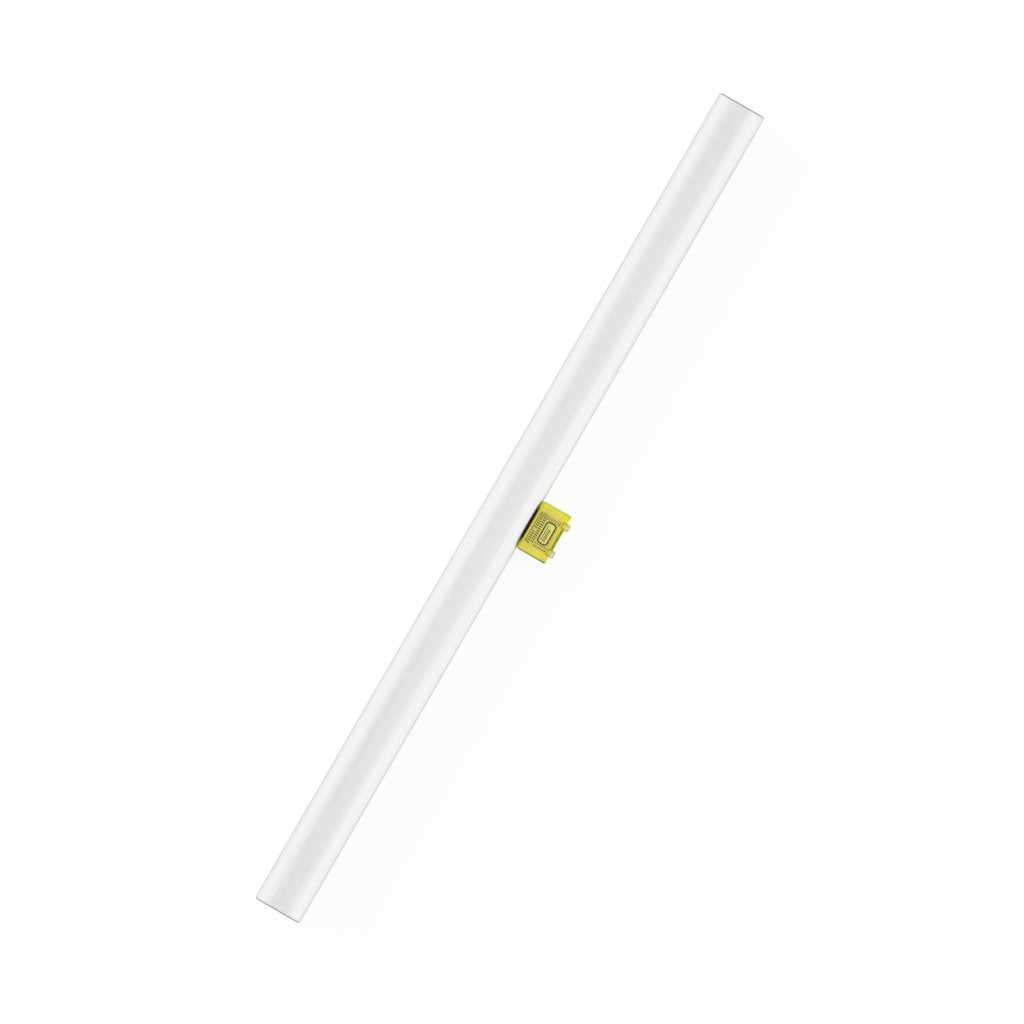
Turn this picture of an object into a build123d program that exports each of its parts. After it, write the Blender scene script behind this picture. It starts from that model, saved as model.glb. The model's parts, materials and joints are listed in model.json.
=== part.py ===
from build123d import *
import os
from math import asin, atan2, degrees, hypot

# Tubular lamp: a sealed opal tube with a plug in each end, and a moulded base on its side that
# carries two contact pegs. All sizes are millimetres.
# The lamp is modelled with its tube along X, its base towards +Z and the base's marked face towards
# +Y. It is then rolled over until it lies on the tube and on the rim of its base.

# Sealed tube
TUBE_LENGTH = 500.0
TUBE_DIAMETER = 27.5
TUBE_EDGE_RADIUS = 1.5

# Plugs that close the tube's ends, flush with them
PLUG_DIAMETER = 22.0
PLUG_THICKNESS = 5.0
PLUG_CHAMFER = 0.4
PLUG_CLEARANCE = 0.05

# Base: its block, and how far it stands out from the tube's surface
BASE_LENGTH = 29.3
BASE_THICKNESS = 14.0
BASE_HEIGHT = 17.6
BASE_SHIFT = -2.15
BASE_CORNER_RADIUS = 4.0
BASE_RIM_CHAMFER = 0.6

# Saddle: how far the base reaches up the tube's sides in its middle, how much less it does at its ends,
# and the rounding of its edge there
SADDLE_DEPTH = 1.55
SADDLE_BOW = 1.45
SADDLE_SHOULDER_RADIUS = 2.2
SADDLE_CLEARANCE = 0.05

# Seal: a pad let into the saddle between its two ends, and thinner towards them
SEAL_THICKNESS = 0.45
SEAL_BOW = 0.3
SEAL_END_MARGIN = 2.2

# Contact pegs: a body let into the base, and a round nose with a bevelled tip that stands out of it
PEG_SPACING = 16.4
PEG_NOSE_DIAMETER = 4.3
PEG_NOSE_LENGTH = 2.0
PEG_TIP_CHAMFER = 0.8
PEG_BODY_DIAMETER = 5.0
PEG_BODY_LENGTH = 7.0
PEG_BODY_CHAMFER = 0.4
PEG_CLEARANCE = 0.02

# Clip notches beside the pegs, and the bevel that leads in between them
NOTCH_WIDTH = 3.6
NOTCH_HEIGHT = 2.6
NOTCH_DEPTH = 1.8
NOTCH_CORNER_RADIUS = 0.5
BEVEL_HEIGHT = 1.6

# Sunk field for the markings on the base's front face, inside these margins
MARKING_TUBE_MARGIN = 1.6
MARKING_RIM_MARGIN = 3.2
MARKING_END_MARGIN = 5.0
MARKING_DEPTH = 0.25
MARKING_CORNER_RADIUS = 0.8

# Heights over the tube's axis
TUBE_RADIUS = TUBE_DIAMETER / 2
SADDLE_TOP = TUBE_RADIUS - SADDLE_DEPTH
SEAL_SEAT = TUBE_RADIUS + SEAL_THICKNESS
BASE_FACE = TUBE_RADIUS + BASE_HEIGHT
BASE_HALF_THICKNESS = BASE_THICKNESS / 2
PEG_PLACES = (-PEG_SPACING / 2, PEG_SPACING / 2)


def tube_bar(radius, length):
    """A round bar along the tube's axis, centred on the tube's middle."""
    return Cylinder(radius, length, rotation=(0, 90, 0))


def opal_tube():
    """The sealed tube with everything inside it as one solid, and a seat for the plug in each end."""
    tube = tube_bar(TUBE_RADIUS, TUBE_LENGTH)
    tube = fillet(tube.edges().filter_by(GeomType.CIRCLE), TUBE_EDGE_RADIUS)
    seat = tube_bar(PLUG_DIAMETER / 2 + PLUG_CLEARANCE, PLUG_THICKNESS)
    for end in (-1, 1):
        tube -= Pos(end * (TUBE_LENGTH - PLUG_THICKNESS) / 2, 0, 0) * seat
    return tube


def end_plug():
    """The plug in the tube's +X end, bevelled so that its edge shows as a fine seam."""
    plug = Pos((TUBE_LENGTH - PLUG_THICKNESS) / 2, 0, 0) * tube_bar(PLUG_DIAMETER / 2, PLUG_THICKNESS)
    rims = plug.edges().filter_by(GeomType.CIRCLE).sort_by(Axis.X)
    return chamfer(rims[-1], PLUG_CHAMFER)


def bow_radius(half_span, rise):
    """The radius of an arc that rises this far over this half span."""
    return (half_span**2 + rise**2) / (2 * rise)


def cross_bar(radius):
    """A round bar along Y, wider than the base."""
    return Cylinder(radius, 2 * BASE_THICKNESS, rotation=(90, 0, 0))


def base_block():
    """The base's block: a rounded plan, a bowed and rounded edge at the tube and a bevelled outer rim."""
    plan = RectangleRounded(BASE_LENGTH, BASE_THICKNESS, BASE_CORNER_RADIUS)
    block = Pos(0, 0, SADDLE_TOP) * extrude(plan, BASE_FACE - SADDLE_TOP)
    bow = bow_radius(BASE_LENGTH / 2, SADDLE_BOW)
    block &= Pos(0, 0, SADDLE_TOP + bow) * cross_bar(bow)
    block = fillet(block.faces().sort_by(Axis.Z)[0].edges(), SADDLE_SHOULDER_RADIUS)
    block = chamfer(block.edges().group_by(Axis.Z)[-1], BASE_RIM_CHAMFER)
    return block - tube_bar(TUBE_RADIUS + SADDLE_CLEARANCE, TUBE_LENGTH)


def front_prism(x, z, length, height, corner_radius, reach):
    """A rounded bar along Y, whose section in the front view is centred on x and z."""
    section = Plane.XZ * Pos(x, z) * RectangleRounded(length, height, corner_radius)
    return extrude(section, reach, both=True)


def seal_slot():
    """The space across the saddle that the seal fills, up to its bowed seat."""
    length = BASE_LENGTH - 2 * SEAL_END_MARGIN
    bow = bow_radius(length / 2, SEAL_BOW)
    slot = Pos(0, 0, SEAL_SEAT - bow) * cross_bar(bow)
    return slot & Box(length, 2 * BASE_THICKNESS, 2 * SEAL_SEAT)


def lead_in_bevel():
    """The wedge cut away along the front of the base's rim, from one clip notch to the other."""
    length = PEG_SPACING - NOTCH_WIDTH
    outline = Polygon(
        (BASE_HALF_THICKNESS - NOTCH_DEPTH, BASE_FACE),
        (BASE_HALF_THICKNESS, BASE_FACE - BEVEL_HEIGHT),
        (BASE_HALF_THICKNESS + NOTCH_DEPTH, BASE_FACE + BEVEL_HEIGHT),
        align=None,
    )
    return extrude(Plane.YZ * outline, length / 2, both=True)


def marking_field():
    """The shallow field sunk into the base's front face."""
    length = BASE_LENGTH - 2 * MARKING_END_MARGIN
    height = BASE_HEIGHT - MARKING_TUBE_MARGIN - MARKING_RIM_MARGIN
    middle = TUBE_RADIUS + MARKING_TUBE_MARGIN + height / 2
    field = front_prism(0, middle, length, height, MARKING_CORNER_RADIUS, MARKING_DEPTH)
    return Pos(0, BASE_HALF_THICKNESS, 0) * field


def peg_bore(x):
    """The blind bore that a peg's body is let into."""
    bore = Cylinder(PEG_BODY_DIAMETER / 2 + PEG_CLEARANCE, PEG_BODY_LENGTH)
    return Pos(x, 0, BASE_FACE - PEG_BODY_LENGTH / 2) * bore


def base_housing():
    """The moulded base, which sits astride the tube."""
    housing = base_block() - seal_slot() - marking_field()
    bevel = lead_in_bevel()
    for x in PEG_PLACES:
        notch = front_prism(x, BASE_FACE, NOTCH_WIDTH, 2 * NOTCH_HEIGHT, NOTCH_CORNER_RADIUS, NOTCH_DEPTH)
        notch = Pos(0, BASE_HALF_THICKNESS, 0) * notch
        housing -= [notch, mirror(notch, about=Plane.XZ), peg_bore(x)]
    return housing - [bevel, mirror(bevel, about=Plane.XZ)]


def base_seal():
    """The black pad in the saddle, flush with the base's shoulders."""
    return base_block() & seal_slot()


def contact_peg(x):
    """One contact peg: a plain body let into the base and a round nose on its outer face."""
    body = Pos(x, 0, BASE_FACE - PEG_BODY_LENGTH / 2) * Cylinder(PEG_BODY_DIAMETER / 2, PEG_BODY_LENGTH)
    body = chamfer(body.edges().group_by(Axis.Z)[0], PEG_BODY_CHAMFER)
    nose = Pos(x, 0, BASE_FACE + PEG_NOSE_LENGTH / 2) * Cylinder(PEG_NOSE_DIAMETER / 2, PEG_NOSE_LENGTH)
    nose = chamfer(nose.edges().group_by(Axis.Z)[-1], PEG_TIP_CHAMFER)
    return body + nose


def rest_roll():
    """The roll, in degrees, from base upwards to lying on the tube and on the rim of the base's back."""
    rim_height = BASE_FACE - BASE_RIM_CHAMFER
    rim_reach = hypot(rim_height, BASE_HALF_THICKNESS)
    dip = asin(TUBE_RADIUS / rim_reach) - atan2(BASE_HALF_THICKNESS, rim_height)
    return 90 + degrees(dip)


def lamp():
    """Every piece under its name, lying on the floor, with the origin at the middle of its footprint."""
    plug = end_plug()
    pegs = [contact_peg(x) for x in PEG_PLACES]
    on_tube = {
        "opal_tube": opal_tube(),
        "end_plug_left": mirror(plug, about=Plane.YZ),
        "end_plug_right": plug,
    }
    on_base = {
        "base_housing": base_housing(),
        "base_seal": base_seal(),
        "contact_peg_left": pegs[0],
        "contact_peg_right": pegs[1],
    }
    pieces = on_tube | {name: Pos(BASE_SHIFT, 0, 0) * piece for name, piece in on_base.items()}
    rolled = {name: Rot(rest_roll(), 0, 0) * piece for name, piece in pieces.items()}
    box = Compound(children=[piece.solid() for piece in rolled.values()]).bounding_box()
    lift = Pos(-box.center().X, -box.center().Y, -box.min.Z)
    return {name: lift * piece.solid() for name, piece in rolled.items()}


os.makedirs("parts", exist_ok=True)
for node, solid in lamp().items():
    export_step(solid, f"parts/{node}.step")
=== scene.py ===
"""Dresses a tubular lamp: an opal tube, plugged at both ends, with a yellow two-contact base on its side."""

import json
import logging
import math
from abc import ABC, abstractmethod
from dataclasses import dataclass
from enum import Enum
from typing import Any

import bmesh
import bpy
from mathutils import Color, Matrix, Vector


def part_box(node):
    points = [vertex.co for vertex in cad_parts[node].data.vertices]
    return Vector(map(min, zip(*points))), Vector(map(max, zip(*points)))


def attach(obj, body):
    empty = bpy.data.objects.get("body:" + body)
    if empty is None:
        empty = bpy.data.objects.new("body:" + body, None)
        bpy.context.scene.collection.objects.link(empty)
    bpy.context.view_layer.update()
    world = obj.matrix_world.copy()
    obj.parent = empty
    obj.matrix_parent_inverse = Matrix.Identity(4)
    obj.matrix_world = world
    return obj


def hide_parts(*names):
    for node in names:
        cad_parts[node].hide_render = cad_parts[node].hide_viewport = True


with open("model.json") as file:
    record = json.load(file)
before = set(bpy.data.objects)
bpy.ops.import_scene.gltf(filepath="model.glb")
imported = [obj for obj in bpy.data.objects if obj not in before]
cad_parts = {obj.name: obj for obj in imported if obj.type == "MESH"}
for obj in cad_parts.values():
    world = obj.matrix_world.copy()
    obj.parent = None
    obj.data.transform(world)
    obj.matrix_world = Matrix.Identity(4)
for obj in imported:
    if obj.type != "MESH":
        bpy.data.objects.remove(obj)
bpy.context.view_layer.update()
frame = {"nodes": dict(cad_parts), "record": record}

LOG = logging.getLogger("tubular_lamp")

MM = 0.001
MERGE = 0.001 * MM
SRGB_TOP = 255
NOISE_MEAN = 0.5
RIGHT_ANGLE = 90
BODY = "root"

# Two values of a flat view, across and up
Pair = tuple[float, float]
# Where a colour starts to show and where it is complete: two distances, places or values of a pattern
Fade = tuple[float, float]


class Side(Enum):
    """The two ends of the tube and of its base, by their sign along the tube."""

    LEFT = -1
    RIGHT = 1

    @property
    def label(self) -> str:
        """The end's word in the names of nodes and pieces."""
        return self.name.lower()


class Flank(Enum):
    """The two flanks of the tube, by their sign from the tube towards its base."""

    BASE = 1
    FAR = -1


class Slot(Enum):
    """The record's material slots."""

    TUBE = "opal_tube"
    PLUG = "end_plug"
    HOUSING = "base_housing"
    SEAL = "base_seal"
    PEG = "contact_peg"


@dataclass(frozen=True)
class Colour:
    """A colour by its sRGB values, from 0 to 255."""

    red: float
    green: float
    blue: float

    @property
    def linear(self) -> tuple[float, float, float, float]:
        """The linear values that a shader takes, with full alpha."""
        values = Color([value / SRGB_TOP for value in (self.red, self.green, self.blue)])
        return (*values.from_srgb_to_scene_linear(), 1.0)


def grey(level: float) -> tuple[float, float, float, float]:
    """A linear grey with full alpha."""
    return (level, level, level, 1.0)


def posed(place: Vector, x: Vector, y: Vector, z: Vector) -> Matrix:
    """The matrix that moves the origin to a place and turns the axes into three directions."""
    return Matrix.Translation(place) @ Matrix((x, y, z)).transposed().to_4x4()


@dataclass(frozen=True)
class Box:
    """Extents in the front view, in metres."""

    low: Vector
    high: Vector

    @property
    def centre(self) -> Vector:
        """The box's middle."""
        return (self.low + self.high) / 2

    @property
    def half(self) -> Vector:
        """Half the box's size."""
        return (self.high - self.low) / 2


@dataclass(frozen=True)
class LampAxes:
    """The lamp's own front view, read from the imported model.

    There x runs along the tube, y from the base's outer face to the tube, and z out of the base's marked
    face. Its origin is the middle of the tube's axis.

    Attributes:
        middle: The middle of the tube's axis, in the row frame.
        out: The direction from the tube to the base's outer face.
        radius: The tube's radius.
        half_length: Half the tube's length.
    """

    middle: Vector
    out: Vector
    radius: float
    half_length: float

    @classmethod
    def from_frame(cls) -> "LampAxes":
        """Reads the tube's box and the direction of the base's outer face.

        Returns:
            The front view.
        """
        low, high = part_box("opal_tube")
        face = next(mount for mount in frame["record"]["mounts"] if mount["name"] == "base_face")
        size = high - low
        return cls((low + high) / 2, Vector(face["axis"]).normalized(), size.z / 2, size.x / 2)

    @property
    def along(self) -> Vector:
        """The direction of the tube."""
        return Vector((1, 0, 0))

    @property
    def front(self) -> Vector:
        """The direction that the base's marked face looks in."""
        return self.out.cross(self.along)

    @property
    def to_row(self) -> Matrix:
        """The matrix from the front view to the row frame."""
        return posed(self.middle, self.along, -self.out, self.front)

    def box(self, node: str) -> Box:
        """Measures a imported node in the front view.

        Args:
            node: The node's name.

        Returns:
            The node's extents.
        """
        to_front = self.to_row.inverted()
        points = [to_front @ vertex.co for vertex in frame["nodes"][node].data.vertices]
        return Box(Vector(map(min, zip(*points))), Vector(map(max, zip(*points))))

    @property
    def pegs(self) -> list[Box]:
        """The extents of the left and of the right contact peg."""
        return [self.box(f"contact_peg_{side.label}") for side in Side]


class Sock:
    """An output socket of a node. Arithmetic on it adds Math nodes to its tree."""

    def __init__(self, tree: "Tree", socket: bpy.types.NodeSocket) -> None:
        """Wraps a socket of a tree."""
        self.tree = tree
        self.socket = socket

    def __add__(self, other: "Sock | float") -> "Sock":
        """The sum."""
        return self.tree.math("ADD", self, other)

    def __sub__(self, other: "Sock | float") -> "Sock":
        """The difference."""
        return self.tree.math("SUBTRACT", self, other)

    def __rsub__(self, other: float) -> "Sock":
        """The difference, taken from a number."""
        return self.tree.math("SUBTRACT", other, self)

    def __mul__(self, other: "Sock | float") -> "Sock":
        """The product."""
        return self.tree.math("MULTIPLY", self, other)

    def __abs__(self) -> "Sock":
        """The size without its sign."""
        return self.tree.math("ABSOLUTE", self)

    __radd__ = __add__
    __rmul__ = __mul__

    def step(self, low: float, high: float) -> "Sock":
        """Rises smoothly from 0 at low to 1 at high, or falls where low is the larger.

        Args:
            low: The value that gives 0.
            high: The value that gives 1.

        Returns:
            A value from 0 to 1.
        """
        if low > high:
            return 1 - self.step(high, low)
        settings = {"interpolation_type": "SMOOTHSTEP", "clamp": True}
        values = {"Value": self, "From Min": low, "From Max": high}
        return self.tree.node("ShaderNodeMapRange", settings, values)


class Tree:
    """A node tree that is built by calls."""

    def __init__(self, tree: bpy.types.NodeTree) -> None:
        """Empties the tree and keeps it."""
        self.tree = tree
        tree.nodes.clear()

    def node(
        self,
        kind: str,
        settings: dict[str, Any] | None = None,
        values: dict[str | int, Any] | None = None,
        output: str | int = 0,
    ) -> Sock:
        """Adds a node.

        Args:
            kind: The node's type.
            settings: Its properties, set first.
            values: Numbers, colours or links of its sockets, by identifier or by place.
            output: The identifier or the place of the output that is wanted.

        Returns:
            That output.
        """
        made = self.tree.nodes.new(kind)
        for name, value in (settings or {}).items():
            setattr(made, name, value)
        for key, value in (values or {}).items():
            socket = self._find(made.inputs, key)
            if isinstance(value, Sock):
                self.tree.links.new(value.socket, socket)
            else:
                socket.default_value = value.linear if isinstance(value, Colour) else value
        found = self._find(made.outputs, output) if made.outputs else None
        return Sock(self, found)

    def math(self, operation: str, *values: Sock | float) -> Sock:
        """Adds a Math node on values."""
        return self.node("ShaderNodeMath", {"operation": operation}, dict(enumerate(values)))

    def mix(self, share: Sock, first: Any, second: Any) -> Sock:
        """Blends two colours or links, by the share of the second from 0 to 1."""
        colours = {"Factor_Float": share, "A_Color": first, "B_Color": second}
        return self.node("ShaderNodeMix", {"data_type": "RGBA"}, colours, "Result_Color")

    @staticmethod
    def _find(sockets: Any, key: str | int) -> bpy.types.NodeSocket:
        """A socket by its place, or by its identifier."""
        return sockets[key] if isinstance(key, int) else next(s for s in sockets if s.identifier == key)


class ShaderTree(Tree):
    """The node tree of a material or of the world."""

    def place(self, axes: LampAxes, stretch: tuple[float, float, float] = (1, 1, 1)) -> Sock:
        """Object coordinates turned into the front view.

        Args:
            axes: The lamp's front view.
            stretch: How many millimetres make one unit, along each axis.

        Returns:
            The coordinates, as a vector.
        """
        coordinates = self.node("ShaderNodeTexCoord", output="Object")
        values = {
            "Vector": coordinates,
            "Location": axes.middle,
            "Rotation": axes.to_row.to_euler("XYZ"),
            "Scale": Vector(stretch) * MM,
        }
        return self.node("ShaderNodeMapping", {"vector_type": "TEXTURE"}, values)

    def split(self, vector: Sock) -> tuple[Sock, Sock, Sock]:
        """The three values of a vector."""
        made = self.node("ShaderNodeSeparateXYZ", None, {"Vector": vector}).socket.node
        return tuple(Sock(self, socket) for socket in made.outputs)

    def reach(self, first: Sock, second: Sock) -> Sock:
        """How far a place is from an axis, by its two offsets from it."""
        return self.math("SQRT", first * first + second * second)

    def rings(self, distance: Sock, pitch: float) -> Sock:
        """Waves from 0 to 1, one for each pitch of a distance."""
        return 0.5 + 0.5 * self.math("SINE", distance * (math.tau / pitch))

    def bump(self, height: Sock, depth: float) -> Sock:
        """A normal that follows a height from 0 to 1, whose full depth is in millimetres."""
        return self.node("ShaderNodeBump", None, {"Height": height, "Distance": depth * MM})

    def principled(self, values: dict[str, Any]) -> Sock:
        """A Principled shader."""
        return self.node("ShaderNodeBsdfPrincipled", None, values)

    def inside(self, place: tuple[Sock, Sock, Sock], box: Box, edge: float) -> Sock:
        """Finds what lies inside a box.

        Args:
            place: Coordinates in millimetres.
            box: The box, in metres.
            edge: The width of the soft border just inside the box, in millimetres.

        Returns:
            1 inside the box and 0 outside it.
        """
        share = 1.0
        for value, middle, half in zip(place, box.centre / MM, box.half / MM):
            share = share * abs(value - middle).step(half, half - edge)
        return share

    def seen(self) -> Sock:
        """Tells rays that show things from rays that light them.

        Returns:
            1 for rays from the camera, mirrors and glass, and 0 for the others.
        """
        path = self.node("ShaderNodeLightPath").socket.node
        names = ("Is Camera Ray", "Is Glossy Ray", "Is Transmission Ray")
        camera, glossy, through = (Sock(self, path.outputs[name]) for name in names)
        return self.math("MAXIMUM", self.math("MAXIMUM", camera, glossy), through)


class Finish(ABC):
    """A surface finish, which makes a material. Its lengths are in millimetres."""

    name: str

    @abstractmethod
    def surface(self, tree: ShaderTree) -> Sock:
        """Builds the finish's shader.

        Args:
            tree: The material's tree.

        Returns:
            The shader.
        """

    def material(self) -> bpy.types.Material:
        """Makes the material.

        Returns:
            The material, with its nodes.
        """
        material = bpy.data.materials.new(self.name)
        material.use_nodes = True
        tree = ShaderTree(material.node_tree)
        tree.node("ShaderNodeOutputMaterial", None, {"Surface": self.surface(tree)})
        return material


@dataclass(frozen=True)
class Skin:
    """A clear skin over a finish, which takes a little of the light that passes it, and most at a slant.

    Attributes:
        clearness: The share of light that passes it straight on.
        bend: Its refractive index.
        roughness: Its own roughness. Fully rough, it adds no shine to the finish under it.
    """

    clearness: float
    bend: float
    roughness: float = 1.0

    @property
    def values(self) -> dict[str, Any]:
        """The skin, as values of a Principled shader."""
        return {
            "Coat Weight": 1.0,
            "Coat Roughness": self.roughness,
            "Coat IOR": self.bend,
            "Coat Tint": grey(self.clearness),
        }


@dataclass(frozen=True)
class Mottle:
    """A cloudy pattern in a finish.

    Attributes:
        scale: How many of its clouds there are to one unit of its coordinates.
        detail: How many finer layers it has.
        band: The values between which a finish's first colour turns into its second.
        sheen: How much the roughness changes from the pattern's lowest value to its highest.
    """

    scale: float
    detail: float
    band: Fade = (0.0, 1.0)
    sheen: float = 0.0

    def noise(self, tree: ShaderTree, place: Sock) -> Sock:
        """The pattern's values, from 0 to 1 and mostly near their mean."""
        values = {"Vector": place, "Scale": self.scale, "Detail": self.detail}
        return tree.node("ShaderNodeTexNoise", None, values, "Fac")

    def blend(self, noise: Sock, first: Colour, second: Colour) -> Sock:
        """Colours the pattern's values."""
        return noise.tree.mix(noise.step(*self.band), first, second)

    def roughness(self, noise: Sock, mean: float) -> Sock:
        """Varies a roughness with the pattern's values."""
        return mean + self.sheen * (noise - NOISE_MEAN)


@dataclass(frozen=True)
class OpalFinish(Finish):
    """Milk-white satin plastic, with the faint lengthwise draw of an extruded tube."""

    axes: LampAxes
    name: str = "opal_satin"
    milk: Colour = Colour(235, 235, 235)
    cloud: Colour = Colour(232, 232, 232)
    draw: Mottle = Mottle(1.0, 3.0, (0.35, 0.7), 0.08)
    draw_stretch: tuple[float, float, float] = (120.0, 1.6, 1.6)
    draw_depth: float = 0.004
    frost: Mottle = Mottle(5.0, 2.0)
    frost_share: float = 0.3
    roughness: float = 0.5
    scatter: float = 0.2
    scatter_reach: float = 2.0
    bend: float = 1.49
    gloss: float = 0.2
    skin: Skin = Skin(0.93, 1.001)

    def surface(self, tree: ShaderTree) -> Sock:
        """Builds the finish's shader.

        Args:
            tree: The material's tree.

        Returns:
            The shader.
        """
        draw = self.draw.noise(tree, tree.place(self.axes, self.draw_stretch))
        frost = self.frost.noise(tree, tree.place(self.axes))
        values = {
            "Base Color": self.draw.blend(draw, self.milk, self.cloud),
            "Roughness": self.draw.roughness(draw, self.roughness),
            "Normal": tree.bump(draw + self.frost_share * (frost - draw), self.draw_depth),
            "Subsurface Weight": self.scatter,
            "Subsurface Radius": (1.0, 1.0, 1.0),
            "Subsurface Scale": self.scatter_reach * MM,
            "IOR": self.bend,
            "Specular IOR Level": self.gloss,
            **self.skin.values,
        }
        return tree.principled(values)


@dataclass(frozen=True)
class PlugFinish(Finish):
    """Moulded white plastic, a little duller than the tube, with the fine rings of its mould."""

    axes: LampAxes
    name: str = "plug_satin"
    white: Colour = Colour(226, 226, 224)
    shade: Colour = Colour(219, 219, 217)
    grain: Mottle = Mottle(3.0, 3.0, (0.3, 0.75), 0.12)
    roughness: float = 0.5
    ring_pitch: float = 0.55
    ring_depth: float = 0.006
    ring_share: float = 0.5
    bend: float = 1.49

    def surface(self, tree: ShaderTree) -> Sock:
        """Builds the finish's shader.

        Args:
            tree: The material's tree.

        Returns:
            The shader.
        """
        place = tree.place(self.axes)
        _, y, z = tree.split(place)
        rings = tree.rings(tree.reach(y, z), self.ring_pitch)
        grain = self.grain.noise(tree, place)
        values = {
            "Base Color": self.grain.blend(grain, self.white, self.shade),
            "Roughness": self.grain.roughness(grain, self.roughness),
            "Normal": tree.bump(grain + self.ring_share * (rings - grain), self.ring_depth),
            "IOR": self.bend,
        }
        return tree.principled(values)


@dataclass(frozen=True)
class MarkingField:
    """The shallow field sunk into the base's marked face, by its margins inside that face.

    Attributes:
        tube_margin: From the tube's surface to the field.
        rim_margin: From the base's outer face to the field.
        end_margin: From each end of the base to the field.
        depth: How far the field is sunk.
    """

    tube_margin: float = 1.6 * MM
    rim_margin: float = 3.2 * MM
    end_margin: float = 5.0 * MM
    depth: float = 0.25 * MM

    def box(self, axes: LampAxes) -> Box:
        """The field in the front view, from its floor to the face round it.

        Args:
            axes: The lamp's front view.

        Returns:
            The field's extents.
        """
        base = axes.box("base_housing")
        low = Vector((base.low.x + self.end_margin, base.low.y + self.rim_margin, base.high.z - self.depth))
        high = Vector((base.high.x - self.end_margin, -axes.radius - self.tube_margin, base.high.z))
        return Box(low, high)


@dataclass(frozen=True)
class ClipNotch:
    """The notches in the base's rim beside its pegs, and the bevel that leads in between them.

    Attributes:
        width: A notch's width along the tube.
        height: How far it reaches in from the rim.
        depth: How far it is cut into the face.
        bevel_height: How far the bevel reaches in from the rim.
        line: The width of the dark line of painted shade along a notch's walls.
    """

    width: float = 3.6 * MM
    height: float = 2.6 * MM
    depth: float = 1.8 * MM
    bevel_height: float = 1.6 * MM
    line: float = 0.36 * MM


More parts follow.
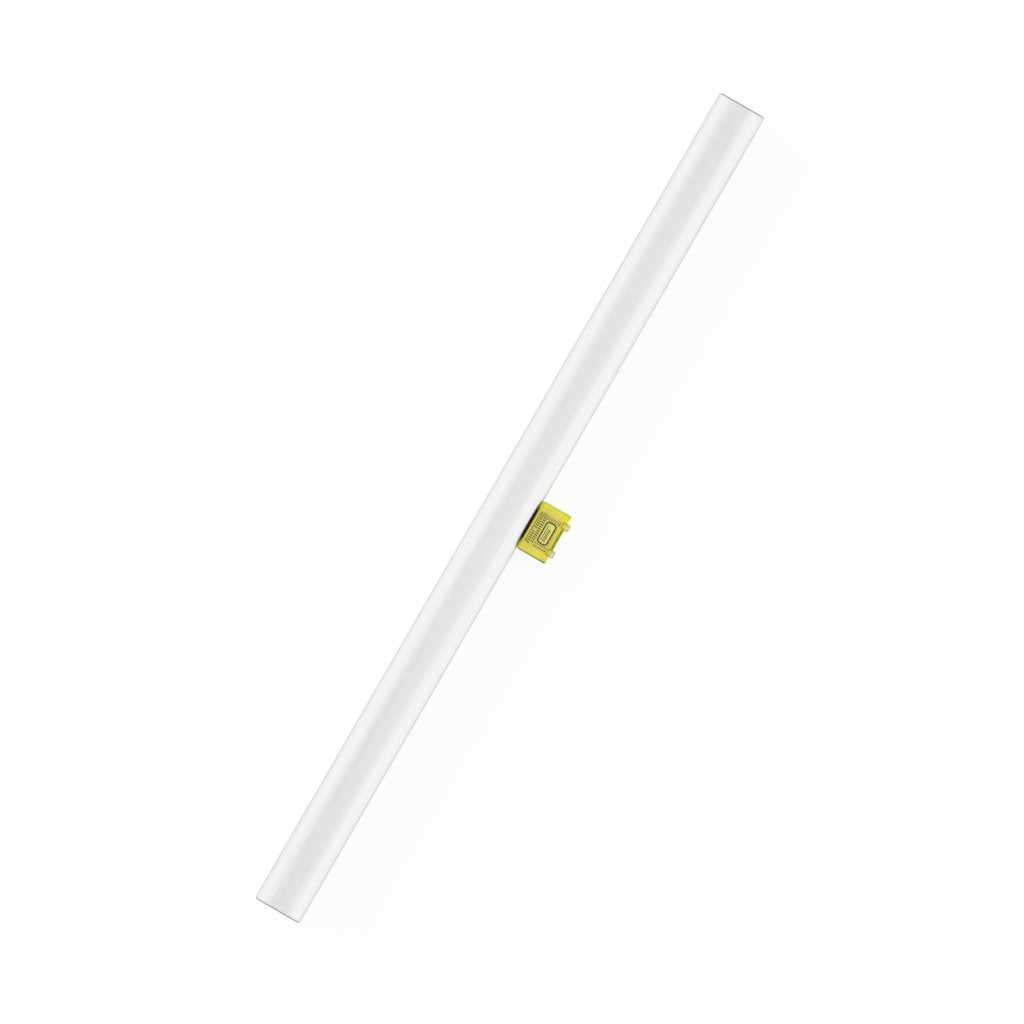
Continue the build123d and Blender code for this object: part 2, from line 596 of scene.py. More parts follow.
@dataclass(frozen=True)
class HousingFinish(Finish):
    """Glossy sulphur-yellow moulding: dull on its faces and deeper along its edges, with painted highlights
    at its ends and in its notches, and painted shade on its bevels, its left end and its corners beside the
    tube.
    """

    axes: LampAxes
    field: MarkingField
    panel: Box
    notch: ClipNotch = ClipNotch()
    name: str = "sulphur_yellow"
    dull: Colour = Colour(236, 224, 97)
    # Painted highlight: a brighter yellow over the last few millimetres of each end, where the rounded ends
    # face the lights.
    painted_highlight: Colour = Colour(252, 249, 76)
    painted_highlight_from_end: Fade = (3.4, 1.0)
    deep: Colour = Colour(206, 203, 34)
    warm: Colour = Colour(246, 226, 46)
    warm_along: Fade = (-6.65, 11.65)
    deep_from_rim: Fade = (7.0, 0.0)
    # The band along the tube: lime in its middle, turning to the deep yellow at both ends, which is painted
    # shade of the corners beside the tube.
    shore: Colour = Colour(246, 236, 20)
    shore_from_end: Fade = (6.0, 2.0)
    shore_from_tube: Fade = (2.4, -0.6)
    # Olive: painted shade, at the left end and on the bevels between the notches.
    olive: Colour = Colour(138, 136, 12)
    olive_shares: tuple[float, float] = (0.15, 0.8)
    olive_along: Fade = (4.15, -3.85)
    olive_from_end: Fade = (1.15, 0.5)
    olive_from_face: Fade = (10.0, 2.6)
    # Painted shade: a dark line in the notch floors along their walls. Painted light: a brighter yellow on
    # the notch floors inside it.
    notch_shade_line: Colour = Colour(158, 150, 24)
    notch_floor_light: Colour = Colour(240, 225, 66)
    khaki: Colour = Colour(226, 215, 110)
    pale: Colour = Colour(234, 225, 128)
    edge: float = 0.15
    clouds: Mottle = Mottle(0.11, 1.0, (0.15, 0.6))
    grain: Mottle = Mottle(4.0, 3.0, sheen=0.1)
    grain_depth: float = 0.008
    roughness: float = 0.28
    field_roughness: float = 0.55
    bend: float = 1.52
    gloss: float = 0.16
    skin: Skin = Skin(0.92, 1.004)

    def surface(self, tree: ShaderTree) -> Sock:
        """Builds the finish's shader.

        Args:
            tree: The material's tree.

        Returns:
            The shader.
        """
        place = tree.place(self.axes)
        split = tree.split(place)
        grain = self.grain.noise(tree, place)
        marked = tree.inside(split, self._floor, self.edge)
        dulling = (self.field_roughness - self.roughness) * marked
        colour = tree.mix(marked, self._moulding(tree, place), self.khaki)
        values = {
            "Base Color": tree.mix(tree.inside(split, self.panel, self.edge), colour, self.pale),
            "Roughness": self.grain.roughness(grain, self.roughness) + dulling,
            "Normal": tree.bump(grain, self.grain_depth),
            "IOR": self.bend,
            "Specular IOR Level": self.gloss,
            **self.skin.values,
        }
        return tree.principled(values)

    def _moulding(self, tree: ShaderTree, place: Sock) -> Sock:
        """The yellow of the moulding, with its painted highlights and painted shade.

        Args:
            tree: The material's tree.
            place: Coordinates in the front view.

        Returns:
            The colour.
        """
        base = self._base
        x, y, z = tree.split(place)
        along = x - base.centre.x / MM
        folded = (abs(along), y, abs(z))
        from_end = base.half.x / MM - folded[0]
        from_rim = y - base.low.y / MM
        from_tube = -self.axes.radius / MM - y
        from_face = base.high.z / MM - folded[2]
        # Painted highlight: the ends turn brighter yellow.
        colour = tree.mix(from_end.step(*self.painted_highlight_from_end), self.dull, self.painted_highlight)
        at_rim = from_rim.step(*self.deep_from_rim) * self.clouds.noise(tree, place).step(*self.clouds.band)
        rim_colour = tree.mix(along.step(*self.warm_along), self.deep, self.warm)
        colour = tree.mix(at_rim, colour, rim_colour)
        # Painted shade: the band along the tube turns deep yellow towards the base's ends.
        shore_colour = tree.mix(from_end.step(*self.shore_from_end), self.deep, self.shore)
        colour = tree.mix(from_tube.step(*self.shore_from_tube), colour, shore_colour)
        right, left = self.olive_shares
        shaded = right + (left - right) * along.step(*self.olive_along)
        shaded = shaded * from_end.step(*self.olive_from_end) * from_face.step(*self.olive_from_face)
        colour = tree.mix(shaded, colour, self.olive)
        # Painted shade: the bevels between the notches are olive, darker than the light on them makes them.
        colour = tree.mix(tree.inside(folded, self._lead_in, self.edge), colour, self.olive)
        # Painted shade along the notch walls, and painted light on the notch floors inside it.
        for box, paint in zip(self._notch_floors, (self.notch_shade_line, self.notch_floor_light)):
            colour = tree.mix(tree.inside(folded, box, self.edge), colour, paint)
        return colour

    @property
    def _base(self) -> Box:
        """The housing's extents."""
        return self.axes.box("base_housing")

    @property
    def _floor(self) -> Box:
        """The floor of the marking field, with half its depth over and under it."""
        box = self.field.box(self.axes)
        half = Vector((0, 0, self.field.depth / 2))
        return Box(box.low - half, box.high - half)

    @property
    def _peg_reach(self) -> float:
        """From the base's middle to a peg's axis."""
        left, right = self.axes.pegs
        return (right.centre - left.centre).x / 2

    @property
    def _lead_in(self) -> Box:
        """The bevels between the notches, with both halves and both faces of the base folded onto one. They
        take the olive of painted shade.
        """
        reach = self._peg_reach - self.notch.width / 2
        rim = self._base.low.y
        high = Vector((reach, rim + self.notch.bevel_height, 2 * self._base.high.z))
        return Box(Vector((-reach, rim, 0)), high)

    @property
    def _notch_floors(self) -> tuple[Box, Box]:
        """The folded notches' floor, and the part of it inside the line of painted shade along its walls,
        which gets painted light.
        """
        notch = self.notch
        middle = Vector((self._peg_reach, self._base.low.y, self._base.high.z - notch.depth))
        half = Vector((notch.width / 2, notch.height, notch.line))
        inner = half - Vector((notch.line, notch.line, 0))
        return Box(middle - half, middle + half), Box(middle - inner, middle + inner)


@dataclass(frozen=True)
class SealFinish(Finish):
    """Black rubber with a fine dusty grain, thinning out at its ends, where painted light turns it
    yellow-olive.
    """

    axes: LampAxes
    name: str = "black_rubber"
    black: Colour = Colour(26, 22, 12)
    dusty: Colour = Colour(42, 37, 24)
    # Painted light: a yellow-olive at the seal's ends, lifting them out of the shade beside the tube.
    painted_light_end: Colour = Colour(190, 176, 60)
    painted_light_from_end: Fade = (4.6, 0.0)
    grain: Mottle = Mottle(2.5, 4.0, (0.45, 0.75), 0.2)
    grain_depth: float = 0.02
    roughness: float = 0.62
    gloss: float = 0.25

    def surface(self, tree: ShaderTree) -> Sock:
        """Builds the finish's shader.

        Args:
            tree: The material's tree.

        Returns:
            The shader.
        """
        seal = self.axes.box("base_seal")
        place = tree.place(self.axes)
        grain = self.grain.noise(tree, place)
        along = tree.split(place)[0] - seal.centre.x / MM
        from_end = seal.half.x / MM - abs(along)
        rubber = self.grain.blend(grain, self.black, self.dusty)
        values = {
            # Painted light: the rubber turns yellow-olive towards its ends.
            "Base Color": tree.mix(from_end.step(*self.painted_light_from_end), rubber, self.painted_light_end),
            "Roughness": self.grain.roughness(grain, self.roughness),
            "Normal": tree.bump(grain, self.grain_depth),
            "Specular IOR Level": self.gloss,
        }
        return tree.principled(values)


@dataclass(frozen=True)
class PegFinish(Finish):
    """Nickel plate over turned brass, with the rings of its turning, and a dark band at its tip that is
    painted shade.
    """

    axes: LampAxes
    name: str = "turned_nickel"
    nickel: Colour = Colour(240, 236, 196)
    worn: Colour = Colour(214, 205, 158)
    # Painted shade: a darker band at each peg's tip, for the shaded edge of its head.
    painted_tip_shade: Colour = Colour(160, 154, 112)
    painted_tip_shade_reach: Fade = (0.9, 0.45)
    tarnish: Mottle = Mottle(0.9, 3.0, (0.5, 0.8), 0.16)
    roughness: float = 0.3
    ring_pitch: float = 0.16
    ring_depth: float = 0.01
    skin: Skin = Skin(0.9, 1.02)

    def surface(self, tree: ShaderTree) -> Sock:
        """Builds the finish's shader.

        Args:
            tree: The material's tree.

        Returns:
            The shader.
        """
        left, right = self.axes.pegs
        middle = (left.centre + right.centre) / 2
        place = tree.place(self.axes)
        x, y, z = tree.split(place)
        from_axis = abs(abs(x - middle.x / MM) - (right.centre - middle).x / MM)
        from_tip = y - left.low.y / MM
        tarnish = self.tarnish.noise(tree, place)
        plate = self.tarnish.blend(tarnish, self.nickel, self.worn)
        values = {
            # Painted shade: the tip of each peg turns darker.
            "Base Color": tree.mix(from_tip.step(*self.painted_tip_shade_reach), plate, self.painted_tip_shade),
            "Metallic": 1.0,
            "Roughness": self.tarnish.roughness(tarnish, self.roughness),
            "Normal": tree.bump(tree.rings(tree.reach(from_axis, z) + y, self.ring_pitch), self.ring_depth),
            **self.skin.values,
        }
        return tree.principled(values)


@dataclass(frozen=True)
class FilmFinish(Finish):
    """A film of printing ink, or the grey film of painted shade round the tube's ends, thinner in places."""

    axes: LampAxes
    name: str
    full: Colour
    thin: Colour
    cover: Mottle = Mottle(0.8, 3.0, (0.45, 0.75), 0.2)
    roughness: float = 0.6

    def surface(self, tree: ShaderTree) -> Sock:
        """Builds the finish's shader.

        Args:
            tree: The material's tree.

        Returns:
            The shader.
        """
        cover = self.cover.noise(tree, tree.place(self.axes))
        values = {
            "Base Color": self.cover.blend(cover, self.full, self.thin),
            "Roughness": self.cover.roughness(cover, self.roughness),
        }
        return tree.principled(values)


@dataclass(frozen=True)
class FloorFinish(Finish):
    """A white sweep: it shows white with a soft shadow, and sends less light back up than it shows."""

    name: str = "white_sweep"
    bounce: float = 0.55
    glow: float = 0.9

    def surface(self, tree: ShaderTree) -> Sock:
        """Builds the finish's shader.

        Args:
            tree: The material's tree.

        Returns:
            The shader.
        """
        plain = tree.node("ShaderNodeBsdfDiffuse", None, {"Color": grey(self.bounce)})
        shown = tree.node("ShaderNodeBsdfDiffuse", None, {"Color": grey(1.0)})
        lit = tree.node("ShaderNodeEmission", None, {"Color": grey(1.0), "Strength": 1.0})
        paper = tree.node("ShaderNodeMixShader", None, {0: self.glow, 1: shown, 2: lit})
        return tree.node("ShaderNodeMixShader", None, {0: tree.seen(), 1: plain, 2: paper})


class Recipe(Tree):
    """A Geometry Nodes tree with named inputs, which adds printed marks to the geometry that it is given."""

    def __init__(self, name: str) -> None:
        """Starts the tree with the inputs that all marks have.

        Args:
            name: The tree's name.
        """
        super().__init__(bpy.data.node_groups.new(name, "GeometryNodeTree"))
        self.identifiers: dict[str, str] = {}
        self._way_in = self.tree.nodes.new("NodeGroupInput")
        self.before = self.input("Geometry", "NodeSocketGeometry")
        self.centre = self.input("Centre", "NodeSocketVector")
        self.depth = self.input("Depth")
        self.ink = self.input("Ink", "NodeSocketMaterial")

    def input(self, name: str, kind: str = "NodeSocketFloat") -> Sock:
        """Adds a named input.

        Args:
            name: The input's name.
            kind: Its socket type.

        Returns:
            The input, for use in the tree.
        """
        made = self.tree.interface.new_socket(name, in_out="INPUT", socket_type=kind)
        self.identifiers[name] = made.identifier
        return Sock(self, self._find(self._way_in.outputs, made.identifier))

    def combine(self, x: Any = 0.0, y: Any = 0.0, z: Any = 0.0) -> Sock:
        """A vector from three values."""
        return self.node("ShaderNodeCombineXYZ", None, {"X": x, "Y": y, "Z": z})

    def finish(self, marks: Sock) -> "Recipe":
        """Joins marks to what came in, in their place, realized and with their ink.

        Args:
            marks: The marks, about the origin.

        Returns:
            The finished tree.
        """
        placed = self.node("GeometryNodeTransform", None, {"Geometry": marks, "Translation": self.centre})
        join = self.tree.nodes.new("GeometryNodeJoinGeometry")
        for part in (placed, self.before):
            self.tree.links.new(part.socket, join.inputs[0])
        whole = self.node("GeometryNodeRealizeInstances", None, {"Geometry": Sock(self, join.outputs[0])})
        dressed = self.node("GeometryNodeSetMaterial", None, {"Geometry": whole, "Material": self.ink})
        self.tree.interface.new_socket("Geometry", in_out="OUTPUT", socket_type="NodeSocketGeometry")
        way_out = self.tree.nodes.new("NodeGroupOutput")
        self.tree.links.new(dressed.socket, way_out.inputs[0])
        return self

    def apply(self, piece: bpy.types.Object, values: dict[str, Any]) -> None:
        """Puts the tree on a piece as a modifier.

        Args:
            piece: The object that gets the modifier.
            values: Its inputs, by name.
        """
        modifier = piece.modifiers.new(self.tree.name, "NODES")
        modifier.node_group = self.tree
        for name, value in values.items():
            modifier[self.identifiers[name]] = value


def stroke_recipe() -> Recipe:
    """A block of short printed strokes in columns and rows.

    Returns:
        The tree.
    """
    tree = Recipe("stroke_block")
    columns, rows = (tree.input(name, "NodeSocketInt") for name in ("Columns", "Rows"))
    column_pitch, row_pitch = (tree.input(name) for name in ("Column Pitch", "Row Pitch"))
    width, height = (tree.input(name) for name in ("Stroke Width", "Stroke Height"))
    shortest, slant, keep = (tree.input(name) for name in ("Shortest", "Slant", "Keep"))
    seed = tree.input("Seed", "NodeSocketInt")
    size = {"Size X": (columns - 1) * column_pitch, "Size Y": (rows - 1) * row_pitch}
    grid = tree.node("GeometryNodeMeshGrid", None, size | {"Vertices X": columns, "Vertices Y": rows})
    stroke = tree.node("GeometryNodeMeshCube", None, {"Size": tree.combine(width, height, tree.depth)})
    chance = {"Probability": keep, "Seed": seed}
    kept = tree.node("FunctionNodeRandomValue", {"data_type": "BOOLEAN"}, chance, "Value_003")
    shares = {"Min_001": shortest, "Max_001": 1.0, "Seed": seed}
    stretch = tree.node("FunctionNodeRandomValue", None, shares, "Value_001")
    shape = {"Instance": stroke, "Rotation": tree.combine(z=slant), "Scale": tree.combine(1.0, stretch, 1.0)}
    places = {"Points": grid, "Selection": kept}
    return tree.finish(tree.node("GeometryNodeInstanceOnPoints", None, places | shape))


def frame_recipe() -> Recipe:
    """A printed line that runs round a rounded rectangle.

    Returns:
        The tree.
    """
    tree = Recipe("printed_frame")
    width, height, corner = (tree.input(name) for name in ("Width", "Height", "Corner Radius"))
    line = tree.input("Line Width")
    steps = tree.input("Corner Steps", "NodeSocketInt")
    rectangle = "GeometryNodeCurvePrimitiveQuadrilateral"
    course = tree.node(rectangle, None, {"Width": width, "Height": height})
    corners = {"Curve": course, "Count": steps, "Radius": corner}
    rounded = tree.node("GeometryNodeFilletCurve", {"mode": "POLY"}, corners)
    section = tree.node(rectangle, None, {"Width": line, "Height": tree.depth})
    swept = {"Curve": rounded, "Profile Curve": section}
    return tree.finish(tree.node("GeometryNodeCurveToMesh", None, swept))


def add_piece(name: str, mesh: bpy.types.Mesh) -> bpy.types.Object:
    """Puts a mesh into the scene at the origin.

    Args:
        name: The object's name.
        mesh: Its mesh, in the row frame.

    Returns:
        The object.
    """
    mesh.name = name
    piece = bpy.data.objects.new(name, mesh)
    bpy.context.scene.collection.objects.link(piece)
    return piece


def dress(name: str, mesh: bpy.types.Mesh, material: bpy.types.Material, crease: float) -> bpy.types.Object:
    """Makes a piece with its material, smooth apart from its creases.

    Args:
        name: The piece's name.
        mesh: Its mesh, in the row frame.
        material: Its material.
        crease: The angle between faces, in degrees, from which an edge stays sharp.

    Returns:
        The piece.
    """
    mesh.polygons.foreach_set("use_smooth", [True] * len(mesh.polygons))
    mesh.set_sharp_from_angle(angle=math.radians(crease))
    mesh.materials.append(material)
    return add_piece(name, mesh)


def seat(piece: bpy.types.Object, slot: Slot | None = None, node: str | None = None) -> None:
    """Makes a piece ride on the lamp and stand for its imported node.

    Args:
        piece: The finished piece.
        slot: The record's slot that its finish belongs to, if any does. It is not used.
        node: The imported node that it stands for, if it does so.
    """
    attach(piece, BODY)
    if node:
        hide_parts(node)
    LOG.info("%s: %d faces", piece.name, len(piece.data.polygons))


def arc(centre: Pair, radius: float, start: float, end: float, steps: int) -> list[Vector]:
    """The points of an arc in a profile, from one angle to another in degrees, by straight steps."""
    angles = [math.radians(start + (end - start) * step / steps) for step in range(steps + 1)]
    return [Vector(centre) + radius * Vector((math.cos(a), math.sin(a))) for a in angles]


def at_end(profile: list[Vector], side: Side) -> list[Vector]:
    """A profile of the tube's right end, moved to one of its ends."""
    return [Vector((side.value * point.x, point.y)) for point in profile]


def turned(profile: list[Vector], axes: LampAxes, segments: int) -> bpy.types.Mesh:
    """Turns a profile about the tube's axis.

    Args:
        profile: Points from axis to axis or round a ring, each a place along the tube and a radius.
        axes: The lamp's front view.
        segments: How many steps make a full turn.

    Returns:
        The closed mesh, in the row frame.
    """
    work = bmesh.new()
    line = [work.verts.new((point.x, point.y, 0)) for point in profile]
    edges = [work.edges.new(pair) for pair in zip(line, line[1:])]
    bmesh.ops.spin(work, geom=line + edges, axis=axes.along, angle=math.tau, steps=segments, use_merge=True)
    bmesh.ops.remove_doubles(work, verts=work.verts, dist=MERGE)
    bmesh.ops.recalc_face_normals(work, faces=work.faces)
    work.transform(axes.to_row)
    mesh = bpy.data.meshes.new("turned")
    work.to_mesh(mesh)
    work.free()
    return mesh


@dataclass
class TubeAssembly:
    """The opal tube, the plugs in its ends and a thin grey film round the edge of each end, which is painted
    shade.

    Attributes:
        axes: The lamp's front view.
        edge_radius: The rounding of the tube's ends.
        lip_radius: The rounding of the mouth of each plug's seat.
        plug_clearance: The gap all round a plug.
        plug_chamfer: The bevel of a plug's outer edge.
        edge_shade_film: The colours of the film of painted shade round each end, where it covers and where
            it is thin.
        sealer_width: How far that film reaches along the tube from its end.
        sealer_depth: How far it stands over the tube.
        segments: How many steps make a full turn.
        arc_steps: How many steps round the edge of an end.
        lip_steps: How many steps round the mouth of a seat, and across a line of sealer.
        crease: The angle from which an edge stays sharp, in degrees.
    """

    axes: LampAxes
    edge_radius: float = 1.5 * MM
    lip_radius: float = 0.15 * MM
    plug_clearance: float = 0.05 * MM
    plug_chamfer: float = 0.4 * MM
    # Painted shade: the greys of the thin film round the rounded edge of each end.
    edge_shade_film: tuple[Colour, Colour] = (Colour(118, 118, 117), Colour(128, 128, 127))
    sealer_width: float = 0.4 * MM
    sealer_depth: float = 0.02 * MM
    segments: int = 192
    arc_steps: int = 10
    lip_steps: int = 3
    crease: float = 35.0

    def build(self) -> None:
        """Builds and dresses the tube, both plugs and both rings of painted edge shade."""
        tube = turned(self._tube_profile(), self.axes, self.segments)
        opal = OpalFinish(self.axes).material()
        seat(dress("tube_opal", tube, opal, self.crease), Slot.TUBE, "opal_tube")
        satin = PlugFinish(self.axes).material()
        edge_shade_film = FilmFinish(self.axes, "grey_edge_shade", *self.edge_shade_film).material()
        for side in Side:
            plug = turned(at_end(self._plug_profile, side), self.axes, self.segments)
            piece = dress(f"plug_{side.label}", plug, satin, self.crease)
            seat(piece, Slot.PLUG, f"end_plug_{side.label}")
            # A thin grey film round the rounded edge of each end: painted shade along that edge.
            line = turned(at_end(self._edge_shade_profile, side), self.axes, self.segments)
            seat(dress(f"sealer_{side.label}", line, edge_shade_film, self.crease))

    @property
    def _plug(self) -> Box:
        """The right plug's extents in the front view."""
        return self.axes.box("end_plug_right")

    @property
    def _edge(self) -> Pair:
        """The middle of the rounding of the tube's right end, in its profile."""
        return (self.axes.half_length - self.edge_radius, self.axes.radius - self.edge_radius)

    def _tube_profile(self) -> list[Vector]:
        """The tube's profile, from the floor of one plug's seat to the floor of the other's.

        Returns:
            The points.
        """
        end = self.axes.half_length
        seat_radius = self._plug.high.z + self.plug_clearance
        floor = self._plug.low.x
        lip = (end - self.lip_radius, seat_radius + self.lip_radius)
        right = [
            *arc(self._edge, self.edge_radius, RIGHT_ANGLE, 0, self.arc_steps),
            *arc(lip, self.lip_radius, 0, -RIGHT_ANGLE, self.lip_steps),
            Vector((floor, seat_radius)),
            Vector((floor, 0)),
        ]
        return at_end(right[::-1], Side.LEFT) + right

    @property
    def _plug_profile(self) -> list[Vector]:
        """The right plug's profile, from the middle of its outer face to the middle of its inner one."""
        inner, outer = self._plug.low.x, self._plug.high.x
        radius = self._plug.high.z
        return [
            Vector((outer, 0)),
            Vector((outer, radius - self.plug_chamfer)),
            Vector((outer - self.plug_chamfer, radius)),
            Vector((inner, radius)),
            Vector((inner, 0)),
        ]

    @property
    def _edge_shade_profile(self) -> list[Vector]:
        """The profile of the right ring of painted edge shade, out over the tube's rounding and back under
        it.
        """
        start = math.degrees(math.acos(1 - self.sealer_width / self.edge_radius))
        over = arc(self._edge, self.edge_radius + self.sealer_depth, start, 0, self.lip_steps)
        back = arc(self._edge, self.edge_radius - self.sealer_depth, 0, start, self.lip_steps)
        return over + back + over[:1]


@dataclass(frozen=True)
class StrokeBlock:
    """A block of printed strokes, placed from the middle of the marking field.

    Attributes:
        centre: The block's middle: along the tube, and towards the tube.
        columns: How many strokes lie side by side.
        rows: How many lie one over the other.
        pitch: The spacing of columns and of rows.
        stroke: A stroke's width and height.
        shortest: The share of that height that the shortest stroke has.
        slant: How far strokes lean over, in degrees.
        keep: The share of strokes that are printed.
        seed: Picks which ones are.
    """

    centre: Pair
    columns: int
    rows: int
    pitch: Pair
    stroke: Pair
    shortest: float = 0.86
    slant: float = 0.0
    keep: float = 1.0
    seed: int = 0

    @property
    def inputs(self) -> dict[str, Any]:
        """The block, as inputs of its recipe."""
        return {
            "Columns": self.columns,
            "Rows": self.rows,
            "Column Pitch": self.pitch[0] * MM,
            "Row Pitch": self.pitch[1] * MM,
            "Stroke Width": self.stroke[0] * MM,
            "Stroke Height": self.stroke[1] * MM,
            "Shortest": self.shortest,
            "Slant": math.radians(self.slant),
            "Keep": self.keep,
            "Seed": self.seed,
        }


@dataclass(frozen=True)
class PrintedFrame:
    """A printed line round the middle strokes, placed from the middle of the marking field.

    Attributes:
        centre: Its middle: along the tube, and towards the tube.
        size: The length and height of its line's course.
        corner: The radius of its corners.
        corner_steps: How many steps each corner is made of.
        line: The width of its line.
    """

    centre: Pair = (0.08, -2.4)
    size: Pair = (12.2, 5.5)
    corner: float = 1.5
    corner_steps: int = 8
    line: float = 0.72

    @property
    def inputs(self) -> dict[str, Any]:
        """The frame, as inputs of its recipe."""
        return {
            "Width": self.size[0] * MM,
            "Height": self.size[1] * MM,
            "Corner Radius": self.corner * MM,
            "Corner Steps": self.corner_steps,
            "Line Width": self.line * MM,
        }


@dataclass
class BaseAssembly:
    """The yellow base with its seal, its contact pegs and the print on its marked face.

    Attributes:
        axes: The lamp's front view.
        field: The sunk field that carries the print.
        crease: The angle from which an edge stays sharp, in degrees.
        ink_depth: How far the ink stands over the field.
        stroke_ink: The ink of the strokes, where it covers and where it is thin.
        blocks: The blocks of strokes, in millimetres.
        border_ink: The ink of the printed frame, likewise.
        border: The printed frame, in millimetres.
    """

    axes: LampAxes
    field: MarkingField = MarkingField()
    crease: float = 25.0
    ink_depth: float = 0.03 * MM
    stroke_ink: tuple[Colour, Colour] = (Colour(74, 64, 10), Colour(112, 100, 28))
    blocks: tuple[StrokeBlock, ...] = (
        StrokeBlock((-0.2, 6.05), 1, 1, (1.0, 1.0), (17.4, 0.34)),
        StrokeBlock((-0.9, 3.5), 13, 2, (1.28, 2.1), (0.54, 1.95), slant=-12.0, keep=0.97, seed=3),
        StrokeBlock((8.3, 3.6), 2, 4, (0.95, 1.1), (0.6, 0.7), slant=-12.0, seed=6),
        StrokeBlock((-7.95, -2.75), 2, 7, (1.55, 1.12), (0.75, 0.62), slant=-12.0, keep=0.93, seed=5),
        StrokeBlock((7.75, -2.5), 1, 7, (1.0, 1.12), (2.1, 0.36), slant=-20.0, keep=0.97, seed=8),
        StrokeBlock((-0.25, -1.15), 9, 1, (0.98, 1.0), (0.8, 0.42), seed=2),
        StrokeBlock((-0.45, -2.7), 8, 1, (1.05, 1.0), (0.5, 1.8), slant=-12.0, keep=0.95, seed=4),
    )
    border_ink: tuple[Colour, Colour] = (Colour(28, 23, 8), Colour(44, 37, 14))
    border: PrintedFrame = PrintedFrame()

    def build(self) -> None:
        """Builds and dresses the housing, the seal, the pegs and the print."""
        housing = HousingFinish(self.axes, self.field, self._panel).material()
        self._dress("base_housing", "housing_yellow", Slot.HOUSING, housing)
        self._dress("base_seal", "seal_black", Slot.SEAL, SealFinish(self.axes).material())
        nickel = PegFinish(self.axes).material()
        for side in Side:
            self._dress(f"contact_peg_{side.label}", f"peg_{side.label}", Slot.PEG, nickel)
        olive = FilmFinish(self.axes, "olive_ink", *self.stroke_ink)
        self._print("print_strokes", stroke_recipe(), olive, self.blocks)
        black = FilmFinish(self.axes, "black_ink", *self.border_ink)
        self._print("print_frame", frame_recipe(), black, (self.border,))

    def _dress(self, node: str, name: str, slot: Slot, material: bpy.types.Material) -> None:
        """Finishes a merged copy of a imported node.

        Args:
            node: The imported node.
            name: The new piece's name.
            slot: The record's slot that its finish belongs to.
            material: Its material.
        """
        piece = dress(name, self._merged(node), material, self.crease)
        normals = piece.modifiers.new("flat_faces_first", "WEIGHTED_NORMAL")
        normals.keep_sharp = True
        seat(piece, slot, node)

    def _merged(self, node: str) -> bpy.types.Mesh:
        """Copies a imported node's mesh with its loose corners joined.

        Args:
            node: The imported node.

        Returns:
            The copy.
        """
        work = bmesh.new()
        work.from_mesh(frame["nodes"][node].data)
        bmesh.ops.remove_doubles(work, verts=work.verts, dist=MERGE)
        work.verts.index_update()
        corners = [vertex.co.copy() for vertex in work.verts]
        faces = [[vertex.index for vertex in face.verts] for face in work.faces]
        work.free()
        mesh = bpy.data.meshes.new(node)
        mesh.from_pydata(corners, [], faces)
        return mesh

    def _print(
        self, name: str, recipe: Recipe, finish: FilmFinish, marks: tuple[StrokeBlock | PrintedFrame, ...]
    ) -> None:
        """Prints marks on the field's floor, as one mesh in the row frame.

        Args:
            name: The print's name.
            recipe: The tree that makes a mark.
            finish: The ink.
            marks: The marks.
        """
        piece = add_piece(name, bpy.data.meshes.new(name))
        ink = finish.material()
        for mark in marks:
            place = {"Centre": self._on_field(mark.centre), "Depth": 2 * self.ink_depth, "Ink": ink}
            recipe.apply(piece, mark.inputs | place)
        graph = bpy.context.evaluated_depsgraph_get()
        mesh = bpy.data.meshes.new_from_object(piece.evaluated_get(graph))
        piece.modifiers.clear()
        mesh.transform(self.axes.to_row)
        piece.data = mesh
        seat(piece)

    def _on_field(self, offset: Pair) -> Vector:
        """A point on the field's floor, by its place from the field's middle in millimetres."""
        box = self.field.box(self.axes)
        return Vector((box.centre.x + offset[0] * MM, box.centre.y + offset[1] * MM, box.low.z))

    @property
    def _panel(self) -> Box:
        """The pale panel inside the printed frame."""
        half = Vector((self.border.size[0] * MM / 2, self.border.size[1] * MM / 2, self.field.depth / 2))
        middle = self._on_field(self.border.centre)
        return Box(middle - half, middle + half)


@dataclass(frozen=True)
class SoftBox:
    """A long soft light beside the tube.

    Attributes:
        flank: The flank of the tube that it lights.
        rise: How high it stands over the floor, in degrees as seen from the tube.
        height: Its height.
        power: Its power in watts.
    """

    flank: Flank
    rise: float
    height: float
    power: float


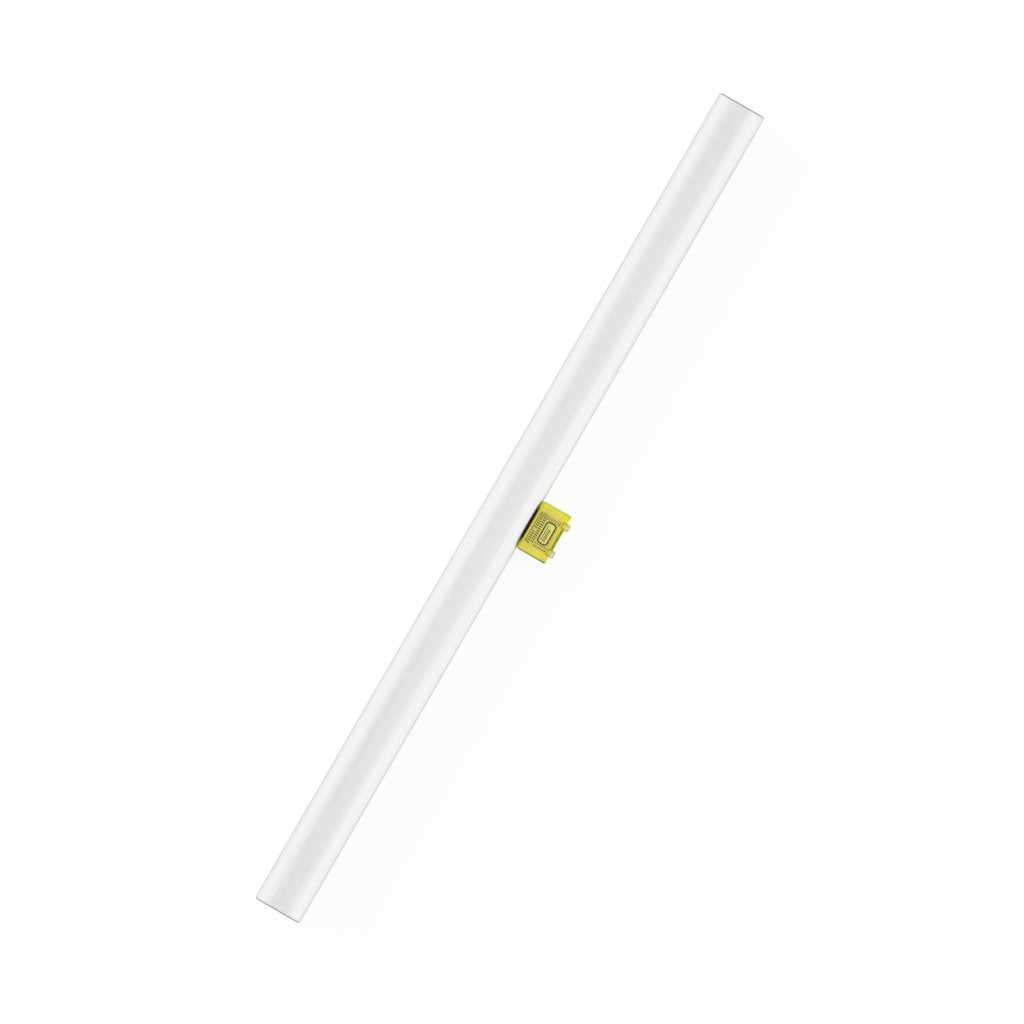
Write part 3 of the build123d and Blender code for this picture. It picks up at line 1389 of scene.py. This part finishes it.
@dataclass
class Studio:
    """The floor, the light and the camera.

    Attributes:
        axes: The lamp's front view.
        view_width: The width of the picture.
        view_turn: How far the tube leans to the right from upright in the picture, in degrees.
        view_shift: How far the tube's middle lies from the picture's, to the right and upwards.
        camera_distance: From the tube's middle to the camera.
        floor_size: The floor's width.
        sky: The strength of the even light from all round.
        box_length: A soft box's length along the tube.
        box_distance: From the tube's middle to a soft box.
        boxes: The soft boxes.
    """

    axes: LampAxes
    view_width: float = 550.2 * MM
    view_turn: float = 30.018
    view_shift: Pair = (-1.17 * MM, 2.16 * MM)
    camera_distance: float = 1.0
    floor_size: float = 12.0
    sky: float = 0.7
    box_length: float = 1.6
    box_distance: float = 1.0
    boxes: tuple[SoftBox, ...] = (
        SoftBox(flank=Flank.BASE, rise=3.5, height=0.12, power=8.5),
        SoftBox(flank=Flank.FAR, rise=27.5, height=0.3, power=8.0),
    )

    def build(self) -> None:
        """Sets the stage."""
        bpy.context.scene.view_settings.view_transform = "Standard"
        self._floor()
        self._sky()
        for box in self.boxes:
            self._soft_box(box)
        self._camera()

    def _floor(self) -> None:
        """Lays the white floor."""
        work = bmesh.new()
        bmesh.ops.create_grid(work, x_segments=1, y_segments=1, size=self.floor_size / 2)
        mesh = bpy.data.meshes.new("floor")
        work.to_mesh(mesh)
        work.free()
        mesh.materials.append(FloorFinish().material())
        add_piece("floor", mesh)

    def _sky(self) -> None:
        """Lights everything evenly, and shows white to the camera and to mirrors."""
        world = bpy.data.worlds.new("even_sky")
        world.use_nodes = True
        tree = ShaderTree(world.node_tree)
        strength = self.sky + (1 - self.sky) * tree.seen()
        light = tree.node("ShaderNodeBackground", None, {"Color": grey(1.0), "Strength": strength})
        tree.node("ShaderNodeOutputWorld", None, {"Surface": light})
        bpy.context.scene.world = world

    def _soft_box(self, box: SoftBox) -> None:
        """Hangs one soft box.

        Args:
            box: Its flank, size and power.
        """
        rise = math.radians(box.rise)
        level = Vector((0, box.flank.value * self.axes.out.y, 0)).normalized()
        towards = math.cos(rise) * level + Vector((0, 0, math.sin(rise)))
        light = bpy.data.lights.new("soft_box", "AREA")
        light.shape = "RECTANGLE"
        light.size = self.box_length
        light.size_y = box.height
        light.energy = box.power
        lamp = bpy.data.objects.new("soft_box", light)
        place = self.axes.middle + self.box_distance * towards
        lamp.matrix_world = posed(place, self.axes.along, towards.cross(self.axes.along), towards)
        lamp.visible_camera = False
        bpy.context.scene.collection.objects.link(lamp)

    def _camera(self) -> None:
        """Looks square at the base's marked face, from above."""
        turn = math.radians(self.view_turn)
        right = math.sin(turn) * self.axes.along + math.cos(turn) * self.axes.out
        up = math.cos(turn) * self.axes.along - math.sin(turn) * self.axes.out
        target = self.axes.middle - self.view_shift[0] * right - self.view_shift[1] * up
        data = bpy.data.cameras.new("camera")
        data.type = "ORTHO"
        data.ortho_scale = self.view_width
        camera = bpy.data.objects.new("camera", data)
        place = target + self.camera_distance * self.axes.front
        camera.matrix_world = posed(place, right, up, self.axes.front)
        bpy.context.scene.collection.objects.link(camera)
        bpy.context.scene.camera = camera


def main() -> None:
    """Builds the lamp and its studio, in order."""
    logging.basicConfig(level=logging.INFO, format="%(message)s")
    axes = LampAxes.from_frame()
    for assembly in (TubeAssembly(axes), BaseAssembly(axes), Studio(axes)):
        assembly.build()
        LOG.info("%s is built", type(assembly).__name__)


if __name__ == "__main__":
    main()
